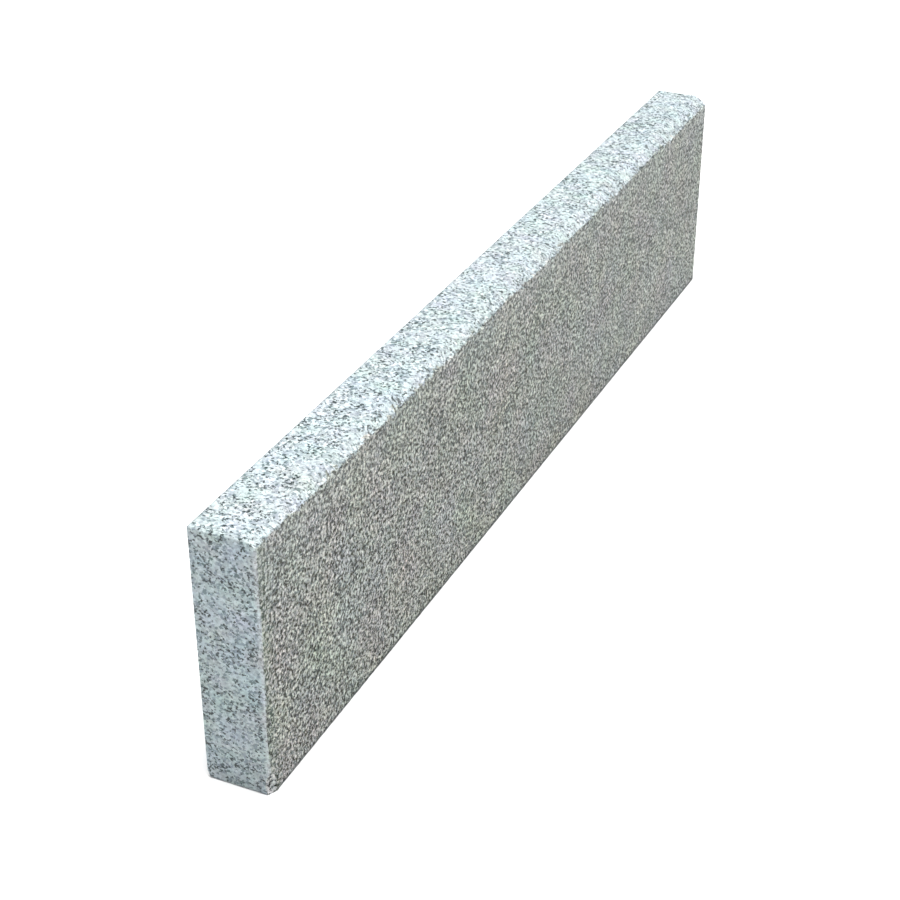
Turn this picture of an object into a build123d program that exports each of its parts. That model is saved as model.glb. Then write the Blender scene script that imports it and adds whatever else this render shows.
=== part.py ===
from build123d import *

import os
from math import ceil, cos, pi, radians, sin

# Granite edging kerb: one stone, sawn from a slab and dressed by hand along the arris that people see.
# It stands on its bed with the road face towards -Y. Millimetres, +X along the kerb, +Z up, and the
# origin is at the centre of the bed.

# Stock size of the stone
LENGTH = 900.0
THICKNESS = 50.0
HEIGHT = 200.0

# Sawn arrises are only broken with a rubbing block, so that they don't cut the hand.
SAWN_ARRIS = 0.8

# The front top arris is dressed with a bush hammer. It is narrow at the -X end and widens towards +X.
DRESSED_TOP_START = 8.0
DRESSED_TOP_END = 12.0
DRESSED_FRONT_START = 3.9
DRESSED_FRONT_END = 8.7
# Roundness of the dressed arris: 0 is a flat bevel, 1 is a round that runs smoothly into both faces.
DRESSED_CROWN = 0.15
# The hammer wanders as it works along the arris. Each wave has a length, a depth and a phase in radians.
HAMMER_WAVES = (
    (175.0, 0.7, 0.7),
    (121.0, 0.4, 2.1),
    (73.0, 0.35, 3.7),
)
# The blows on the top face lag those on the front face by this much along the arris.
TOP_BLOW_LAG = 17.0
# Distance between the sections that the dressed arris is shaped through
BLOW_PITCH = 12.0

# The back foot corner of the -X end was knocked off. The break reaches this far from it along X, Y and Z.
BACK_FOOT_BREAK = (5.0, 3.4, 4.0)

# Flakes lost from the upright front arris of the -X end: a long thin one, and a deep one at the foot.
# Each has the height of its middle, its length along the arris, its depth, and the turn in degrees from
# the end towards the front that the blow came from.
LONG_FLAKE_HEIGHT = 52.0
LONG_FLAKE_LENGTH = 56.0
LONG_FLAKE_DEPTH = 0.8
LONG_FLAKE_TURN = 83.0
FOOT_FLAKE_HEIGHT = 7.0
FOOT_FLAKE_LENGTH = 24.0
FOOT_FLAKE_DEPTH = 4.6
FOOT_FLAKE_TURN = 72.0

# How far a cutting shape stands clear of the face that it cuts through
OVERCUT = 5.0

START = -LENGTH / 2
FRONT = -THICKNESS / 2
BACK = THICKNESS / 2


def hammer_wander(x):
    """Depth by which the hammer strays from a straight line at one place along the arris."""
    return sum(depth * sin(2 * pi * x / length + phase) for length, depth, phase in HAMMER_WAVES)


def dressed_reach(x, start, end, lag=0.0):
    """Distance that the dressing reaches over a face from the arris, at one place along it."""
    share = (x - START) / LENGTH
    return start + (end - start) * share + hammer_wander(x - lag)


def sawn_block():
    """The stone as it leaves the saw, with every arris broken but the one that gets dressed."""
    block = Box(LENGTH, THICKNESS, HEIGHT, align=(Align.CENTER, Align.CENTER, Align.MIN))
    dressed = block.edges().filter_by(Axis.X).sort_by(Axis.Z)[-2:].sort_by(Axis.Y)[0]
    sawn = [edge for edge in block.edges() if not edge.is_same(dressed)]
    return chamfer(sawn, SAWN_ARRIS)


def waste_section(x):
    """Section of the waste that dressing takes off the front top arris, at one place along it."""
    top_reach = dressed_reach(x, DRESSED_TOP_START, DRESSED_TOP_END, TOP_BLOW_LAG)
    front_reach = dressed_reach(x, DRESSED_FRONT_START, DRESSED_FRONT_END)
    over_top = Vector(x, FRONT + top_reach, HEIGHT)
    down_front = Vector(x, FRONT, HEIGHT - front_reach)
    arris = Vector(x, FRONT, HEIGHT)
    bevel_middle = (over_top + down_front) / 2
    crown = bevel_middle + (arris - bevel_middle) * DRESSED_CROWN
    above = over_top + Vector(0, 0, OVERCUT)
    before = down_front - Vector(0, OVERCUT, 0)
    clear_corner = Vector(x, before.Y, above.Z)
    outline = Bezier(over_top, crown, down_front) + Polyline(down_front, before, clear_corner, above, over_top)
    return make_face(outline)


def arris_waste():
    """Waste along the whole front top arris, shaped through its sections."""
    span = LENGTH + 2 * OVERCUT
    steps = ceil(span / BLOW_PITCH)
    places = [START - OVERCUT + span * step / steps for step in range(steps + 1)]
    return loft([waste_section(x) for x in places])


def break_corner(stone, corner, reach):
    """Take one corner off the stone along the flat break that joins three points on its edges."""
    inward = [-1 if ordinate > 0 else 1 for ordinate in (corner.X, corner.Y, corner.Z - HEIGHT / 2)]
    along = corner + Vector(inward[0] * reach[0], 0, 0)
    across = corner + Vector(0, inward[1] * reach[1], 0)
    upright = corner + Vector(0, 0, inward[2] * reach[2])
    outward = Vector(*(-side / distance for side, distance in zip(inward, reach)))
    return split(stone, bisect_by=Plane((along + across + upright) / 3, z_dir=outward), keep=Keep.BOTTOM)


def flake_scar(height, length, depth, turn):
    """Ball that leaves the scar of a flake on the upright front arris of the -X end."""
    radius = (length**2 / 4 + depth**2) / (2 * depth)
    clear = radius - depth
    off_end = clear * cos(radians(turn))
    off_front = clear * sin(radians(turn))
    return Pos(START - off_end, FRONT - off_front, height) * Sphere(radius)


def kerb_stone():
    """The finished stone: sawn, dressed, and knocked about as it stands."""
    stone = sawn_block() - arris_waste()
    stone -= flake_scar(LONG_FLAKE_HEIGHT, LONG_FLAKE_LENGTH, LONG_FLAKE_DEPTH, LONG_FLAKE_TURN)
    stone -= flake_scar(FOOT_FLAKE_HEIGHT, FOOT_FLAKE_LENGTH, FOOT_FLAKE_DEPTH, FOOT_FLAKE_TURN)
    return break_corner(stone, Vector(START, BACK, 0), BACK_FOOT_BREAK)


os.makedirs("parts", exist_ok=True)
export_step(kerb_stone(), "parts/kerb_stone.step")
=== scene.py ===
"""Looks of a granite edging kerb: one stone, sawn, bush-hammered and knocked about, in a pale studio."""

import logging
import math
from collections.abc import Callable
from dataclasses import dataclass, field
from enum import Enum
from typing import Any

import bmesh
import bpy
from mathutils import Matrix, Vector, noise
from mathutils.bvhtree import BVHTree


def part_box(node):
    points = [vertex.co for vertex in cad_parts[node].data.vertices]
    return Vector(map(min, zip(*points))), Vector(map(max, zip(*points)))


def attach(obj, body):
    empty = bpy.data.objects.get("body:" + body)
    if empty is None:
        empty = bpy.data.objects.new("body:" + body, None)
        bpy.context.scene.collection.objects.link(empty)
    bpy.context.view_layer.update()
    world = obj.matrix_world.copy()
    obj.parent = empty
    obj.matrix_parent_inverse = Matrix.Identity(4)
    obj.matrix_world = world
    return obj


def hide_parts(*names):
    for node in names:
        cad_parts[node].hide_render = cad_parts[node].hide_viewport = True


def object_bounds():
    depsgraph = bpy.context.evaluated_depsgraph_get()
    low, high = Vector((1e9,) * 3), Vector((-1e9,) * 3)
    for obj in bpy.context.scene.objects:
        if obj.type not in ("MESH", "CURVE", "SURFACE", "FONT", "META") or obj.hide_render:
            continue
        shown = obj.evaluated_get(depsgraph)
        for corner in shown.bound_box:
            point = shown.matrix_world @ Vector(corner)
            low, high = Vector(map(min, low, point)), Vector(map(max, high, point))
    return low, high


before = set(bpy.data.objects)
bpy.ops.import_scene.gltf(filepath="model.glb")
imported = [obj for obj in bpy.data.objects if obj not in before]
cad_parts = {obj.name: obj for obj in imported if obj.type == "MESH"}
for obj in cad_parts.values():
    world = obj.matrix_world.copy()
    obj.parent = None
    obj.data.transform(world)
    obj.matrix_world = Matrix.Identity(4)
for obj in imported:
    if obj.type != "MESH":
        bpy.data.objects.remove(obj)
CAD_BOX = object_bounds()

MM = 0.001
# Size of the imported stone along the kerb, through it and up
LENGTH, THICKNESS, HEIGHT = (high - low for low, high in zip(*CAD_BOX))

log = logging.getLogger("kerb")

Tree = bpy.types.NodeTree
Socket = bpy.types.NodeSocket


class Finish(Enum):
    """How a surface of the stone was made. The value is its place among the stone's materials."""

    HAMMERED_FACE = 0
    HAMMERED_TOP = 1
    SAWN = 2
    DARK_BREAK = 3
    FRESH_BREAK = 4


class Side(Enum):
    """The six sides of the stone. The value is the axis and the direction that the side faces."""

    FRONT = (1, -1)
    BACK = (1, 1)
    TOP = (2, 1)
    BED = (2, -1)
    START_END = (0, -1)
    FAR_END = (0, 1)

    @property
    def axis(self) -> int:
        """Axis that the side is square to."""
        return self.value[0]

    @property
    def outward(self) -> Vector:
        """Direction that the side faces.

        Returns:
            The direction, one metre long.
        """
        direction = Vector((0, 0, 0))
        direction[self.axis] = self.value[1]
        return direction

    def inside(self, distance: float) -> float:
        """Place on the side's axis that lies some way inside the side.

        Args:
            distance: Distance from the side in metres.

        Returns:
            The place in metres.
        """
        axis, sense = self.value
        corner = CAD_BOX[1] if sense > 0 else CAD_BOX[0]
        return corner[axis] - sense * distance


# The top and the road face were dressed with the hammer. The other sides are as the saw left them.
SIDE_FINISH = {
    Side.FRONT: Finish.HAMMERED_FACE,
    Side.TOP: Finish.HAMMERED_TOP,
    Side.BACK: Finish.SAWN,
    Side.BED: Finish.SAWN,
    Side.START_END: Finish.SAWN,
    Side.FAR_END: Finish.SAWN,
}
# Sides that are seen from close by, so they get a finer mesh
SHOWN_SIDES = (Side.FRONT, Side.TOP, Side.START_END)


def linear(colour: str) -> tuple[float, float, float, float]:
    """Turn an sRGB hex colour into the linear one that shaders and lamps take.

    Args:
        colour: Colour as # and six hex digits.

    Returns:
        Linear red, green and blue, and an alpha of one.
    """
    shares = [int(colour[place : place + 2], 16) / 255 for place in (1, 3, 5)]
    red, green, blue = (s / 12.92 if s <= 0.04045 else ((s + 0.055) / 1.055) ** 2.4 for s in shares)
    return red, green, blue, 1.0


def per_metre(size_mm: float) -> float:
    """Scale of a pattern whose features are this many millimetres apart."""
    return 1000 / size_mm


def add_node(
    tree: Tree,
    kind: str,
    inputs: dict[str | int, Any] | None = None,
    stops: list[tuple[float, str]] | None = None,
    **settings: Any,
) -> bpy.types.Node:
    """Add one node with its settings, and fill or link its sockets.

    Args:
        tree: Node tree that gets the node.
        kind: Blender's own name for the kind of node.
        inputs: For each socket, the value to set or the output to link.
        stops: Places and sRGB hex colours along a colour ramp.
        settings: Properties of the node.

    Returns:
        The new node.
    """
    node = tree.nodes.new(kind)
    for name, value in settings.items():
        setattr(node, name, value)
    for name, value in (inputs or {}).items():
        if isinstance(value, Socket):
            tree.links.new(value, node.inputs[name])
        else:
            node.inputs[name].default_value = value
    for number, (place, colour) in enumerate(stops or []):
        elements = node.color_ramp.elements
        stop = elements[number] if number < 2 else elements.new(place)
        stop.position = place
        stop.color = linear(colour)
    return node


@dataclass(frozen=True)
class Mineral:
    """One tone of crystal in the granite, and the share of the ground that is darker than it."""

    colour: str
    darker: float


# Pale grey granite: glassy quartz, which shows dark, then grey feldspar, then white.
GROUND_MINERALS = (
    Mineral("#6C7B78", 0.0),
    Mineral("#A9ADB1", 0.2),
    Mineral("#CBCCC9", 0.45),
    Mineral("#D9DEDA", 0.75),
    Mineral("#EDEBE8", 1.0),
)
# Black mica, which looks dark green-grey in daylight. Its roughness is this share of the ground's.
MICA_COLOUR = "#293635"
MICA_ROUGHNESS_SHARE = 0.75
# Refractive index of quartz and feldspar
GRANITE_IOR = 1.54
# Noise hardly ever leaves this range.
NOISE_LOW = 0.3
NOISE_HIGH = 0.7
# Radians that a diagonal wave of scale one turns through in a metre along an axis
WAVE_TURN = 10.0


@dataclass(frozen=True)
class EdgeLine:
    """Band along a side of the stone whose colour is laid over the crystals and fades with distance from that
    side. Bands are used for bruising, for plain darker and paler tones, and for painted shade and painted
    light.

    Distances are in millimetres inside that side.
    """

    side: Side
    # Distances at which the band covers the most, and at which it has faded out
    full: float
    faded: float
    colour: str
    # Largest share of the crystals' colour that is covered
    cover: float

    def over(self, tree: Tree, stone: Socket) -> Socket:
        """Lay the line over the colour of the stone.

        Args:
            tree: Node tree of the material.
            stone: Output with the colour of the stone.

        Returns:
            Output with the covered colour.
        """
        plain = add_node(tree, "ShaderNodeTexCoord").outputs["Object"]
        place = add_node(tree, "ShaderNodeSeparateXYZ", {0: plain})
        bare = add_node(
            tree,
            "ShaderNodeMapRange",
            {
                "Value": place.outputs[self.side.axis],
                "From Min": self.side.inside(self.full * MM),
                "From Max": self.side.inside(self.faded * MM),
                "To Min": 1 - self.cover,
            },
        )
        return add_node(
            tree,
            "ShaderNodeMix",
            {"Factor": bare.outputs["Result"], "A": linear(self.colour), "B": stone},
            data_type="RGBA",
        ).outputs["Result"]


@dataclass(frozen=True)
class GraniteFinish:
    """One finish of the stone. Its crystals are the same ones in every finish, cut through by the surface.

    Sizes are in millimetres. A crystal is 1.5 to 3 mm across, as in a fine to medium-grained granite.
    """

    name: str
    roughness: float
    # Colour that the surface as a whole takes, from how clean it is, and on the top and the sawn sides also a
    # painted cool skylight
    tint: str
    # Depth of the pits between and within the crystals, and their spacing
    pit_depth: float
    pit_size: float
    # Pits have finer pits in them: how many times over, and how strong each is beside the last
    pit_detail: float = 3.0
    pit_fineness: float = 0.63
    # Height by which one crystal stands above another, as a share of the depth of the pits
    crystal_step: float = 0.4
    # Dark stain in the pits, partly grime and partly painted shade of the pits, and the heights at which it
    # starts to thin and is gone
    pit_shade_and_grime: str | None = None
    pit_dark_level: float = 0.4
    crest_level: float = 0.58
    lines: tuple[EdgeLine, ...] = ()
    # Waves that a saw blade leaves: their depth, their length along an edge, how far they stray, and how many
    # times over
    saw_depth: float = 0.0
    saw_pitch: float = 62.83
    saw_stray: float = 2.0
    saw_detail: float = 2.0
    # Size of the crystals of the ground and of the mica, and the share of the stone that is mica
    ground_size: float = 1.8
    mica_size: float = 1.4
    mica_share: float = 0.155
    # Spread of the shares at which a crystal is only part mica
    mica_blend: float = 0.06
    # Clusters of mica: their size, and how far they swing its share
    cluster_size: float = 15.0
    cluster_swing: float = 0.12
    # Ragged sides of the crystals: the size of the wiggles, how far they reach, and how many times over
    ragged_size: float = 1.3
    ragged_reach: float = 1.3
    ragged_detail: float = 1.0
    # Rift of the rock: crystals lie a little longer across the stone than along it.
    rift: tuple[float, float, float] = (0.93, 1.12, 0.96)
    # Clouds of faint green and lilac in the slab
    cloud_size: float = 18.0
    cloud_swing: float = 0.12

    def crystal_places(self, tree: Tree) -> Socket:
        """Places on the stone, pushed about so that no crystal has straight sides.

        Args:
            tree: Node tree of the material.

        Returns:
            Output that holds the places.
        """
        plain = add_node(tree, "ShaderNodeTexCoord").outputs["Object"]
        place = add_node(
            tree, "ShaderNodeVectorMath", {0: plain, 1: self.rift}, operation="DIVIDE"
        ).outputs["Vector"]
        push = add_node(
            tree,
            "ShaderNodeTexNoise",
            {"Vector": place, "Scale": per_metre(self.ragged_size), "Detail": self.ragged_detail},
        )
        centred = add_node(
            tree,
            "ShaderNodeVectorMath",
            {0: push.outputs["Color"], 1: (0.5, 0.5, 0.5)},
            operation="SUBTRACT",
        )
        reach = 2 * self.ragged_reach * MM
        return add_node(
            tree,
            "ShaderNodeVectorMath",
            {0: centred.outputs["Vector"], 1: (reach, reach, reach), 2: place},
            operation="MULTIPLY_ADD",
        ).outputs["Vector"]

    def ground(self, tree: Tree, places: Socket) -> tuple[Socket, Socket]:
        """Feldspar and quartz, each crystal with the colour of its own mineral.

        Args:
            tree: Node tree of the material.
            places: Output with the places of the crystals.

        Returns:
            Outputs with the colour and with a random number for each crystal.
        """
        scale = per_metre(self.ground_size)
        crystals = add_node(tree, "ShaderNodeTexVoronoi", {"Vector": places, "Scale": scale})
        draw = add_node(tree, "ShaderNodeSeparateColor", {"Color": crystals.outputs["Color"]})
        stops = [(mineral.darker, mineral.colour) for mineral in GROUND_MINERALS]
        ramp = add_node(tree, "ShaderNodeValToRGB", {"Fac": draw.outputs["Red"]}, stops)
        return ramp.outputs["Color"], draw.outputs["Green"]

    def mica(self, tree: Tree, places: Socket) -> Socket:
        """Where the black flakes are. They lie in loose clusters.

        Args:
            tree: Node tree of the material.
            places: Output with the places of the crystals.

        Returns:
            Output that is one on a flake, zero off it, and between them on a crystal that is part mica.
        """
        scale = per_metre(self.mica_size)
        flakes = add_node(tree, "ShaderNodeTexVoronoi", {"Vector": places, "Scale": scale})
        draw = add_node(tree, "ShaderNodeSeparateColor", {"Color": flakes.outputs["Color"]})
        scale = per_metre(self.cluster_size)
        cluster = add_node(tree, "ShaderNodeTexNoise", {"Vector": places, "Scale": scale})
        share = add_node(
            tree,
            "ShaderNodeMapRange",
            {
                "Value": cluster.outputs["Fac"],
                "From Min": NOISE_LOW,
                "From Max": NOISE_HIGH,
                "To Min": self.mica_share - self.cluster_swing,
                "To Max": self.mica_share + self.cluster_swing,
            },
        )
        over = add_node(
            tree,
            "ShaderNodeMath",
            {0: share.outputs["Result"], 1: draw.outputs["Red"]},
            operation="SUBTRACT",
        )
        return add_node(
            tree,
            "ShaderNodeMapRange",
            {"Value": over.outputs["Value"], "From Min": -self.mica_blend, "From Max": self.mica_blend},
        ).outputs["Result"]

    def pits(self, tree: Tree, places: Socket) -> Socket:
        """Height of the surface in its pits.

        Args:
            tree: Node tree of the material.
            places: Output with the places of the crystals.

        Returns:
            Output that is about a third in a pit and two thirds on a crest.
        """
        return add_node(
            tree,
            "ShaderNodeTexNoise",
            {
                "Vector": places,
                "Scale": per_metre(self.pit_size),
                "Detail": self.pit_detail,
                "Roughness": self.pit_fineness,
            },
        ).outputs["Fac"]

    def pit_darkened(self, tree: Tree, stone: Socket, pits: Socket, pit_shade_and_grime: str) -> Socket:
        """Darken the pits of the stone with a stain that is partly grime and partly painted shade of the
        pits.

        Args:
            tree: Node tree of the material.
            stone: Output with the colour of the clean stone.
            pits: Output with the height of the pits.
            pit_shade_and_grime: Colour of the stain, partly grime and partly painted shade.

        Returns:
            Output with the darkened colour.
        """
        crest = add_node(
            tree,
            "ShaderNodeMapRange",
            {"Value": pits, "From Min": self.pit_dark_level, "From Max": self.crest_level},
        )
        film = add_node(
            tree,
            "ShaderNodeMix",
            {"Factor": crest.outputs["Result"], "A": linear(pit_shade_and_grime), "B": linear("#FFFFFF")},
            data_type="RGBA",
        )
        return add_node(
            tree, "ShaderNodeVectorMath", {0: stone, 1: film.outputs["Result"]}, operation="MULTIPLY"
        ).outputs["Vector"]

    def colour(self, tree: Tree, places: Socket, pits: Socket) -> tuple[Socket, Socket, Socket]:
        """Colour of the stone: ground, flakes, clouds in the slab, pit stain that is partly painted shade,
        and bands along its edges, some of them painted shade and painted light.

        Args:
            tree: Node tree of the material.
            places: Output with the places of the crystals.
            pits: Output with the height of the pits.

        Returns:
            Outputs with the colour, with the flakes and with a random number for each crystal.
        """
        ground, draw = self.ground(tree, places)
        flakes = self.mica(tree, places)
        mixed = add_node(
            tree,
            "ShaderNodeMix",
            {"Factor": flakes, "A": ground, "B": linear(MICA_COLOUR)},
            data_type="RGBA",
        )
        scale = per_metre(self.cloud_size)
        cloud = add_node(tree, "ShaderNodeTexNoise", {"Vector": places, "Scale": scale})
        swing, rest = 2 * self.cloud_swing, 1 - self.cloud_swing
        shade = add_node(
            tree,
            "ShaderNodeVectorMath",
            {0: cloud.outputs["Color"], 1: (swing, swing, swing), 2: (rest, rest, rest)},
            operation="MULTIPLY_ADD",
        )
        clouded = add_node(
            tree,
            "ShaderNodeVectorMath",
            {0: mixed.outputs["Result"], 1: shade.outputs["Vector"]},
            operation="MULTIPLY",
        )
        tinted = add_node(
            tree,
            "ShaderNodeVectorMath",
            {0: clouded.outputs["Vector"], 1: linear(self.tint)[:3]},
            operation="MULTIPLY",
        )
        colour = tinted.outputs["Vector"]
        if self.pit_shade_and_grime:
            colour = self.pit_darkened(tree, colour, pits, self.pit_shade_and_grime)
        for line in self.lines:
            colour = line.over(tree, colour)
        return colour, flakes, draw

    def relief(self, tree: Tree, pits: Socket, draw: Socket) -> Socket:
        """Fine relief, too small for the mesh: pits between the crystals, and saw marks.

        Args:
            tree: Node tree of the material.
            pits: Output with the height of the pits.
            draw: Output with a random number for each crystal.

        Returns:
            Output with the normal of the relief.
        """
        height = add_node(
            tree, "ShaderNodeMath", {0: draw, 1: self.crystal_step, 2: pits}, operation="MULTIPLY_ADD"
        )
        bump = add_node(
            tree,
            "ShaderNodeBump",
            {"Height": height.outputs["Value"], "Strength": 1.0, "Distance": self.pit_depth * MM},
        )
        if not self.saw_depth:
            return bump.outputs["Normal"]
        marks = add_node(
            tree,
            "ShaderNodeTexWave",
            {
                "Vector": add_node(tree, "ShaderNodeTexCoord").outputs["Object"],
                "Scale": 2 * math.pi * per_metre(self.saw_pitch) / WAVE_TURN,
                "Distortion": self.saw_stray,
                "Detail": self.saw_detail,
            },
            bands_direction="DIAGONAL",
        )
        return add_node(
            tree,
            "ShaderNodeBump",
            {
                "Height": marks.outputs["Fac"],
                "Normal": bump.outputs["Normal"],
                "Strength": 1.0,
                "Distance": self.saw_depth * MM,
            },
        ).outputs["Normal"]

    def material(self) -> bpy.types.Material:
        """Make the material of this finish.

        Returns:
            The new material.
        """
        material = bpy.data.materials.new(self.name)
        material.use_nodes = True
        tree = material.node_tree
        shader = tree.nodes["Principled BSDF"]
        places = self.crystal_places(tree)
        pits = self.pits(tree, places)
        colour, flakes, draw = self.colour(tree, places, pits)
        tree.links.new(colour, shader.inputs["Base Color"])
        shader.inputs["IOR"].default_value = GRANITE_IOR
        shine = add_node(
            tree,
            "ShaderNodeMapRange",
            {
                "Value": flakes,
                "To Min": self.roughness,
                "To Max": self.roughness * MICA_ROUGHNESS_SHARE,
            },
        )
        tree.links.new(shine.outputs["Result"], shader.inputs["Roughness"])
        tree.links.new(self.relief(tree, pits, draw), shader.inputs["Normal"])
        return material


# Bush-hammered granite: the crystals are stunned, so the face is matt and pitted all over. The dark stain in
# its pits is partly grime and partly painted shade of the pits, and it keeps the face darker than the top. It
# has a thin painted contact shadow along its foot and a faint green-grey darkening along its near arris. It
# is painted paler and cooler towards its dressed arris, as more light falls there, and it is paler towards
# its far end.
FACE_GRANITE = GraniteFinish(
    "bush_hammered_granite",
    roughness=0.9,
    tint="#FDFFFA",
    pit_depth=1.2,
    pit_size=2.8,
    # Dark stain in the pits: partly grime, partly painted shade of the pits
    pit_shade_and_grime="#3B3A28",
    pit_dark_level=0.411,
    crest_level=0.57,
    cloud_size=45.0,
    cloud_swing=0.105,
    lines=(
        # Painted contact shadow along the foot
        EdgeLine(Side.BED, full=1.0, faded=4.0, colour="#2E3434", cover=0.75),
        # Painted light: paler and cooler towards the top of the face
        EdgeLine(Side.TOP, full=4.0, faded=55.0, colour="#DCE4E6", cover=0.09),
        EdgeLine(Side.START_END, full=1.0, faded=16.0, colour="#5F8A70", cover=0.15),
        EdgeLine(Side.FAR_END, full=0.0, faded=675.0, colour="#DCE4E6", cover=0.06),
    ),
)
# The same, without the dark stain in its pits. Its cooler white tint is painted cool skylight on the top. It
# is bruised whiter along the dressed arris, and has a painted dark line of shade along its back edge.
TOP_GRANITE = GraniteFinish(
    "sky_tinted_hammered_granite",
    roughness=0.85,
    # Painted cool skylight
    tint="#EDF8FF",
    pit_depth=1.2,
    pit_size=2.0,
    cloud_swing=0.095,
    lines=(
        EdgeLine(Side.FRONT, full=4.0, faded=13.0, colour="#F4FAFA", cover=0.09),
        # Painted dark line of shade along the back edge
        EdgeLine(Side.BACK, full=0.5, faded=2.0, colour="#5C6468", cover=0.5),
    ),
)
# Sawn granite: the crystals are cut clean, so the black flakes stand out and the face has a dull even sheen.
# Its blue-grey tint is partly its own darker sawn colour and partly painted cool skylight. It has a painted
# highlight along its edge with the road face, and painted shade that darkens it towards its foot.
SAWN_GRANITE = GraniteFinish(
    "sawn_granite",
    roughness=0.62,
    # Partly painted cool skylight
    tint="#D3E1E9",
    pit_depth=0.25,
    pit_size=1.8,
    saw_depth=0.05,
    lines=(
        # Painted shade, darker towards the foot
        EdgeLine(Side.BED, full=0.0, faded=150.0, colour="#2E3434", cover=0.13),
        # Painted highlight along the edge with the road face
        EdgeLine(Side.FRONT, full=1.0, faded=4.5, colour="#FFFFFF", cover=0.24),
    ),
)
# Dark break: crystals part along their own faces, so it is sharply rough. It is tinted darker and greener,
# with a dark stain in its pits.
DARK_BREAK = GraniteFinish(
    "dark_broken_granite",
    roughness=0.8,
    tint="#D2DAD4",
    pit_depth=1.5,
    pit_size=3.0,
    pit_shade_and_grime="#2E332D",
)
# Fresh break: as rough, but pale, with painted shadow in the sharp crevices between its crystals.
FRESH_BREAK = GraniteFinish(
    "fresh_broken_granite",
    roughness=0.75,
    tint="#FFFFFF",
    pit_depth=1.5,
    pit_size=3.0,
    # Painted shadow in the crevices
    pit_shade_and_grime="#1C211D",
    pit_dark_level=0.44,
    crest_level=0.5,
)
FINISHES = {
    Finish.HAMMERED_FACE: FACE_GRANITE,
    Finish.HAMMERED_TOP: TOP_GRANITE,
    Finish.SAWN: SAWN_GRANITE,
    Finish.DARK_BREAK: DARK_BREAK,
    Finish.FRESH_BREAK: FRESH_BREAK,
}


@dataclass(frozen=True)
class Panel:
    """Place of one side of the stone on its colour map. All lengths are in metres of stone at full scale."""

    across: int
    up: int
    left: float
    bottom: float
    scale: float = 1.0
    # A long side that shows is cut at half its length, and its far half lies this far above the near half.
    far_rise: float = 0.0

    def place(self, from_low: Vector, far: bool, half_length: float) -> tuple[float, float]:
        """Where a place on the stone lies on the map.

        Args:
            from_low: The place, from the low corner of the stone.
            far: Whether it belongs to the far half of the stone.
            half_length: Half the length of the stone.

        Returns:
            Distances across and up the map.
        """
        beyond = far and self.far_rise > 0
        across = self.left + from_low[self.across] * self.scale - (half_length if beyond else 0.0)
        return across, self.bottom + from_low[self.up] * self.scale + (self.far_rise if beyond else 0.0)


# The rows of the map, from its foot up, with a gap between them. The sides that show are at full scale, and
# the back and the bed, which lie along the whole map, at half scale.
HIDDEN_SCALE = 0.5
MAP_GAP = 4.0 * MM
FACE_ROW = HEIGHT + MAP_GAP
EDGE_ROW = THICKNESS + MAP_GAP
TOP_ROWS = 2 * FACE_ROW
END_ROW = TOP_ROWS + 2 * EDGE_ROW
BACK_ROW = END_ROW + EDGE_ROW
BED_ROW = BACK_ROW + HEIGHT * HIDDEN_SCALE + MAP_GAP
MAP_SIZE = (LENGTH / 2, BED_ROW + THICKNESS * HIDDEN_SCALE)
MAP_PANELS = {
    Side.FRONT: Panel(0, 2, left=0.0, bottom=0.0, far_rise=FACE_ROW),
    Side.TOP: Panel(0, 1, left=0.0, bottom=TOP_ROWS, far_rise=EDGE_ROW),
    Side.START_END: Panel(2, 1, left=0.0, bottom=END_ROW),
    Side.FAR_END: Panel(2, 1, left=MAP_SIZE[0] / 2, bottom=END_ROW),
    Side.BACK: Panel(0, 2, left=0.0, bottom=BACK_ROW, scale=HIDDEN_SCALE),
    Side.BED: Panel(0, 1, left=0.0, bottom=BED_ROW, scale=HIDDEN_SCALE),
}


def crumbling(place: Vector, size: float, smoothness: float, octaves: int) -> float:
    """Noise with features of one size, and with finer ones in them, each half the size of the last."""
    return noise.fractal(place / size, smoothness, 2.0, octaves)


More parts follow.
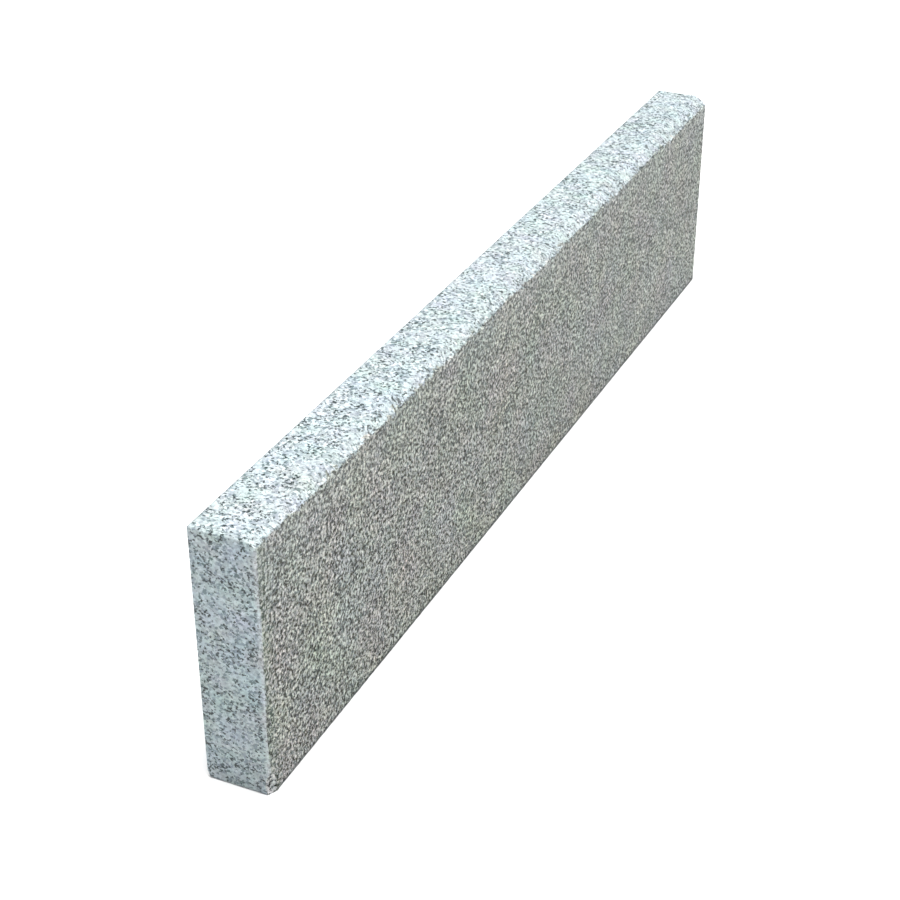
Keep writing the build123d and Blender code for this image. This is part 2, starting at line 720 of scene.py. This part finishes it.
@dataclass
class KerbStone:
    """The stone itself: a block gridded for carving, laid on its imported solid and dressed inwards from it.

    Sizes are in metres. Relief only ever cuts into the solid, so the stone keeps its size.
    """

    node: str = "kerb_stone"
    name: str = "kerb_stone_dressed"
    slot: str = "granite"
    body: str = "root"
    map_name: str = "OFBake"
    arris: float = 0.8 * MM
    # Spacing of the grid on plain sides. Sides that show are split once more, and arrises that show twice.
    grid: float = 4.2 * MM
    band: float = 13.0 * MM
    # Share of its length that an edge of the grid has along an axis, at least, to count as running along it
    straightness: float = 0.99
    # Edges of the grid that are shorter than this once they lie on the solid are taken out.
    speck: float = 0.02 * MM
    # Angle in degrees from which an edge shows as sharp
    sharp_angle: float = 38.0
    # Pits that the teeth of the hammer leave, and how steep their sides are
    tooth_pitch: float = 6.5 * MM
    tooth_depth: float = 0.45 * MM
    tooth_steepness: float = 1.4
    # Long waves of a face: their length, and their depth where the hammer or only the saw made it
    sway_length: float = 70.0 * MM
    sway_depth: float = 0.35 * MM
    saw_sway: float = 0.06 * MM
    # Crumbs lost along the dressed arris. A higher bias makes more of them.
    crumb_size: float = 7.0 * MM
    crumb_depth: float = 3.2 * MM
    crumb_bias: float = 0.1
    # The bruise that whitens the dressing has a ragged lower edge: how far it strays, the size of its crumbs,
    # and how much it tends down the road face. Faces in the bruise take the top's finish, with its painted
    # cool skylight and without the road face's painted pit shade.
    bruise_reach: float = 5.0 * MM
    bruise_size: float = 8.0 * MM
    bruise_bias: float = 0.12
    # Sawn arrises are still straight: the hammer stayed this far clear of them.
    margin: float = 6.0 * MM
    # Chips along the upright arris of the near end: how far they reach over the road face, their size, the
    # height that they are thickest at, how far up and down they spread, and how much is left whole
    chip_reach: float = 5.5 * MM
    chip_size: float = 7.0 * MM
    chip_height: float = 50.0 * MM
    chip_spread: float = 34.0 * MM
    chip_bias: float = -0.15
    # A face this far below the plain block is broken, and less will do where it isn't square to a side.
    break_depth: float = 0.55 * MM
    slant_break_depth: float = 0.45 * MM
    squareness: float = 0.995
    # Breaks below this height are the fresh ones, from when the stone was set down.
    foot_height: float = 20.0 * MM
    # Facets of the broken corners
    facet_size: float = 5.0 * MM
    facet_depth: float = 1.1 * MM
    low: Vector = field(init=False)
    high: Vector = field(init=False)
    solid: BVHTree = field(init=False)

    def __post_init__(self) -> None:
        """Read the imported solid, which everything here is laid on."""
        self.low, self.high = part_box(self.node)
        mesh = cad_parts[self.node].data
        corners = [vertex.co for vertex in mesh.vertices]
        self.solid = BVHTree.FromPolygons(corners, [tuple(face.vertices) for face in mesh.polygons])

    def side_of(self, normal: Vector) -> Side:
        """The side that a direction belongs to."""
        return max(Side, key=lambda side: normal.dot(side.outward))

    def gridded_block(self) -> bmesh.types.BMesh:
        """A block of the stone's size with its arrises broken, divided into a grid of faces.

        Returns:
            The block.
        """
        block = bmesh.new()
        size = self.high - self.low
        place = Matrix.Translation((self.low + self.high) / 2) @ Matrix.Diagonal((*size, 1))
        bmesh.ops.create_cube(block, size=1.0, matrix=place)
        bmesh.ops.bevel(
            block,
            geom=block.edges[:],
            offset=self.arris,
            offset_type="OFFSET",
            affect="EDGES",
            segments=1,
            profile=0.5,
            material=-1,
        )
        for axis in range(3):
            runs = [edge for edge in block.edges if self.runs_along(edge, axis)]
            cuts = round(size[axis] / self.grid) - 1
            bmesh.ops.subdivide_edges(block, edges=runs, cuts=cuts, use_grid_fill=True)
        self.refine(block, lambda face: self.side_of(face.normal) in SHOWN_SIDES)
        self.refine(block, self.near_shown_arris)
        self.lay_map(block)
        return block

    def runs_along(self, edge: bmesh.types.BMEdge, axis: int) -> bool:
        """Whether a long edge of the block runs along an axis."""
        run = edge.verts[1].co - edge.verts[0].co
        return abs(run[axis]) > self.straightness * run.length and run.length > 2 * self.grid

    def near_shown_arris(self, face: bmesh.types.BMFace) -> bool:
        """Whether a face lies beside the dressed arris or the upright arris that lost a flake.

        Args:
            face: Face of the block.

        Returns:
            Whether it does.
        """
        middle = face.calc_center_median()
        to_front = middle.y - self.low.y < self.band
        return to_front and (self.high.z - middle.z < self.band or middle.x - self.low.x < self.band / 2)

    def refine(self, block: bmesh.types.BMesh, wanted: Callable[[bmesh.types.BMFace], bool]) -> None:
        """Split every side of the wanted faces in two.

        Args:
            block: Block to refine.
            wanted: Test that says whether a face is refined.
        """
        block.normal_update()
        edges = {edge for face in block.faces if wanted(face) for edge in face.edges}
        bmesh.ops.subdivide_edges(block, edges=list(edges), cuts=1, use_grid_fill=True)

    def lay_map(self, block: bmesh.types.BMesh) -> None:
        """Lay the sides of the block side by side on the map that its colours are baked through.

        Args:
            block: Block that gets the map, before it is laid on the solid.
        """
        layer = block.loops.layers.uv.new(self.map_name)
        middle = (self.low.x + self.high.x) / 2
        block.normal_update()
        for face in block.faces:
            panel = MAP_PANELS[self.side_of(face.normal)]
            far = face.calc_center_median().x > middle
            for loop in face.loops:
                across, up = panel.place(loop.vert.co - self.low, far, middle - self.low.x)
                loop[layer].uv = (across / MAP_SIZE[0], up / MAP_SIZE[1])

    def lay_on_solid(self, block: bmesh.types.BMesh) -> None:
        """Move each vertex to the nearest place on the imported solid, which has the dressing and the breaks.

        Args:
            block: Block to move.
        """
        for vertex in block.verts:
            vertex.co = self.solid.find_nearest(vertex.co)[0]
        bmesh.ops.dissolve_degenerate(block, dist=self.speck, edges=block.edges[:])
        block.normal_update()

    def lost(self, place: Vector) -> float:
        """Depth that the solid has lost below the plain block, at one place on it."""
        return min(min(place[axis] - self.low[axis], self.high[axis] - place[axis]) for axis in range(3))

    def finish_of(self, face: bmesh.types.BMFace) -> Finish:
        """Finish of one face, from where it lies and which way it looks.

        Args:
            face: Face of the stone, laid on its solid.

        Returns:
            The finish.
        """
        middle = face.calc_center_median()
        side = self.side_of(face.normal)
        beside_dressing = self.high.z - middle.z < self.band and middle.y - self.low.y < self.band
        if beside_dressing and side in (Side.FRONT, Side.TOP):
            return Finish.HAMMERED_TOP if self.bruised_and_top_lit(middle, side) else Finish.HAMMERED_FACE
        slants = face.normal.dot(side.outward) < self.squareness
        if self.lost(middle) > (self.slant_break_depth if slants else self.break_depth):
            return Finish.FRESH_BREAK if middle.z - self.low.z < self.foot_height else Finish.DARK_BREAK
        if side is Side.FRONT and middle.x - self.low.x < self.chip_at(middle):
            return Finish.DARK_BREAK
        return SIDE_FINISH[side]

    def bruised_and_top_lit(self, place: Vector, side: Side) -> bool:
        """Whether a place beside the dressed arris is bruised white and takes the top's finish, with its
        painted cool skylight, or keeps the road face's finish, with its painted pit shade.

        Args:
            place: Place on the solid.
            side: Side that the place belongs to.

        Returns:
            Whether it is bruised.
        """
        above_edge = place.y - self.low.y
        if side is Side.FRONT:
            within = place + Side.BACK.outward * self.arris / 2
            above_edge = -(self.solid.ray_cast(within, Side.TOP.outward)[3] or 0.0)
        ragged = crumbling(place, self.bruise_size, smoothness=0.5, octaves=3) + self.bruise_bias
        return above_edge + self.bruise_reach * ragged > 0

    def chip_at(self, place: Vector) -> float:
        """Distance that the chips of the near upright arris reach over the road face beside a place.

        Args:
            place: Place on the road face.

        Returns:
            The distance, which is zero where there is no chip.
        """
        thick = math.exp(-(((place.z - self.chip_height) / self.chip_spread) ** 2))
        ragged = crumbling(Vector((0.0, 0.0, place.z)), self.chip_size, smoothness=0.6, octaves=2)
        return self.chip_reach * max(0.0, ragged + thick + self.chip_bias)

    def pits(self, place: Vector) -> float:
        """Depth of the pits that the hammer's teeth leave at one place, from zero to one."""
        distance = noise.voronoi(place / self.tooth_pitch)[0][0]
        return max(0.0, 1.0 - self.tooth_steepness * distance)

    def clear_of_saw(self, place: Vector) -> float:
        """How far a place is clear of the sawn sides: zero at their arrises, one beyond the margin."""
        near, far = place - self.low, self.high - place
        return min(1.0, min(near.x, far.x, far.y, near.z) / self.margin)

    def sway(self, place: Vector) -> float:
        """Depth of the long waves of a face at one place, from zero to one."""
        return 0.5 + 0.5 * noise.noise(place / self.sway_length)

    def hammered_depth(self, place: Vector) -> float:
        """Depth that the hammer takes off at one place."""
        depth = self.sway_depth * self.sway(place) + self.tooth_depth * self.pits(place)
        return depth * self.clear_of_saw(place)

    def crumbled_depth(self, place: Vector) -> float:
        """Depth that the hammer takes off the top at one place, with the crumbs lost along the dressed arris.

        Args:
            place: Place on the solid.

        Returns:
            The depth.
        """
        across = max(0.0, 1.0 - (place.y - self.low.y) / self.band)
        ragged = crumbling(place, self.crumb_size, smoothness=0.5, octaves=3)
        crumb = max(0.0, ragged + self.crumb_bias)
        return self.hammered_depth(place) + self.crumb_depth * crumb * across**2

    def broken_depth(self, place: Vector) -> float:
        """Depth of the facets that a break leaves at one place."""
        steps = noise.voronoi(place / self.facet_size)[0]
        return self.facet_depth * min(1.0, steps[1] - steps[0])

    def sawn_depth(self, place: Vector) -> float:
        """Depth that a saw strays into the stone at one place."""
        return self.saw_sway * self.sway(place)

    def carve(self, block: bmesh.types.BMesh) -> None:
        """Give every face its finish, and cut the relief of that finish into the stone.

        Args:
            block: Block that lies on the solid.
        """
        depth_of = {
            Finish.HAMMERED_FACE: self.hammered_depth,
            Finish.HAMMERED_TOP: self.crumbled_depth,
            Finish.SAWN: self.sawn_depth,
            Finish.DARK_BREAK: self.broken_depth,
            Finish.FRESH_BREAK: self.broken_depth,
        }
        for face in block.faces:
            face.material_index = self.finish_of(face).value
        carved = {vertex: vertex.co.copy() for vertex in block.verts}
        for vertex, place in carved.items():
            for finish in {face.material_index for face in vertex.link_faces}:
                facing = Vector((0, 0, 0))
                for face in vertex.link_faces:
                    if face.material_index == finish:
                        facing += face.normal * face.calc_area()
                place -= facing.normalized() * depth_of[Finish(finish)](vertex.co)
        for vertex, place in carved.items():
            vertex.co = [min(max(place[axis], self.low[axis]), self.high[axis]) for axis in range(3)]
        block.normal_update()

    def build(self) -> bpy.types.Object:
        """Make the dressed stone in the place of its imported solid.

        Returns:
            The stone.
        """
        block = self.gridded_block()
        self.lay_on_solid(block)
        self.carve(block)
        mesh = bpy.data.meshes.new(self.name)
        for finish in Finish:
            mesh.materials.append(FINISHES[finish].material())
        block.to_mesh(mesh)
        block.free()
        mesh.shade_smooth()
        mesh.set_sharp_from_angle(angle=math.radians(self.sharp_angle))
        stone = bpy.data.objects.new(self.name, mesh)
        bpy.context.scene.collection.objects.link(stone)
        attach(stone, self.body)
        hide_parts(self.node)
        return stone


def direction_from(azimuth: float, height: float) -> Vector:
    """Direction towards a compass place and height, both in degrees.

    Args:
        azimuth: Zero is in front of the stone, and a quarter turn is off its far end.
        height: Angle above the floor.

    Returns:
        The direction, one metre long.
    """
    turn, rise = math.radians(azimuth), math.radians(height)
    return Vector((math.sin(turn) * math.cos(rise), -math.cos(turn) * math.cos(rise), math.sin(rise)))


@dataclass(frozen=True)
class Lamp:
    """One soft light of the studio, which is even over the whole floor."""

    name: str
    colour: str
    strength: float
    # Compass direction that the light comes from, from the front towards the far end, and its height
    azimuth: float
    height: float
    # Angle that the light fills, which sets how soft its shadows are
    spread: float
    # Where it hangs makes no difference to the light.
    distance: float = 3.0

    def place(self) -> bpy.types.Object:
        """Hang the light.

        Returns:
            The light.
        """
        light = bpy.data.lights.new(self.name, "SUN")
        light.color = linear(self.colour)[:3]
        light.energy = self.strength
        light.angle = math.radians(self.spread)
        lamp = bpy.data.objects.new(self.name, light)
        lamp.location = direction_from(self.azimuth, self.height) * self.distance
        lamp.rotation_euler = (-lamp.location).to_track_quat("-Z", "Y").to_euler()
        bpy.context.scene.collection.objects.link(lamp)
        return lamp


@dataclass
class Studio:
    """Floor, lights and camera."""

    # The camera looks down along the stone from its near end, as a person would who stands over it.
    azimuth: float = -65.41
    height: float = 30.135
    distance: float = 1.5083
    aim: tuple[float, float, float] = (-0.0494, 0.0287, 0.0419)
    lens: float = 72.03
    sensor: float = 36.0
    floor_size: float = 80.0
    floor_colour: str = "#F2F2F2"
    sky_colour: str = "#FFFFFF"
    sky_strength: float = 0.1
    lamps: tuple[Lamp, ...] = (Lamp("overhead", "#FFFFFF", 5.52, azimuth=0, height=85, spread=40),)

    def floor(self) -> bpy.types.Object:
        """Lay the floor.

        Returns:
            The floor.
        """
        plane = bmesh.new()
        bmesh.ops.create_grid(plane, x_segments=1, y_segments=1, size=self.floor_size / 2)
        mesh = bpy.data.meshes.new("floor")
        plane.to_mesh(mesh)
        plane.free()
        # Matt paper: it goes white under the light, and sends an even light back to the road face.
        paper = bpy.data.materials.new("matt_paper")
        paper.use_nodes = True
        shader = paper.node_tree.nodes["Principled BSDF"]
        shader.inputs["Base Color"].default_value = linear(self.floor_colour)
        shader.inputs["Roughness"].default_value = 1.0
        shader.inputs["Specular IOR Level"].default_value = 0.0
        mesh.materials.append(paper)
        floor = bpy.data.objects.new("floor", mesh)
        bpy.context.scene.collection.objects.link(floor)
        return floor

    def sky(self) -> bpy.types.World:
        """Make the weak light that comes from all round.

        Returns:
            The world.
        """
        world = bpy.data.worlds.new("sky")
        world.use_nodes = True
        background = world.node_tree.nodes["Background"]
        background.inputs["Color"].default_value = linear(self.sky_colour)
        background.inputs["Strength"].default_value = self.sky_strength
        bpy.context.scene.world = world
        return world

    def camera(self) -> bpy.types.Object:
        """Set up the camera.

        Returns:
            The camera.
        """
        view = bpy.data.cameras.new("camera")
        view.sensor_width = self.sensor
        view.lens = self.lens
        camera = bpy.data.objects.new("camera", view)
        away = direction_from(self.azimuth, self.height)
        camera.location = Vector(self.aim) + away * self.distance
        camera.rotation_euler = (-away).to_track_quat("-Z", "Y").to_euler()
        bpy.context.scene.collection.objects.link(camera)
        bpy.context.scene.camera = camera
        return camera

    def build(self) -> None:
        """Set up the whole studio."""
        self.floor()
        self.sky()
        for lamp in self.lamps:
            lamp.place()
        self.camera()
        settings = bpy.context.scene.view_settings
        settings.view_transform = "Standard"
        settings.look = "None"


def main() -> None:
    """Build the stone and the studio round it."""
    logging.basicConfig(level=logging.INFO, format="%(name)s: %(message)s")
    stone = KerbStone().build()
    log.info("%s has %d faces", stone.name, len(stone.data.polygons))
    Studio().build()
    log.info("studio is set up")


if __name__ == "__main__":
    main()
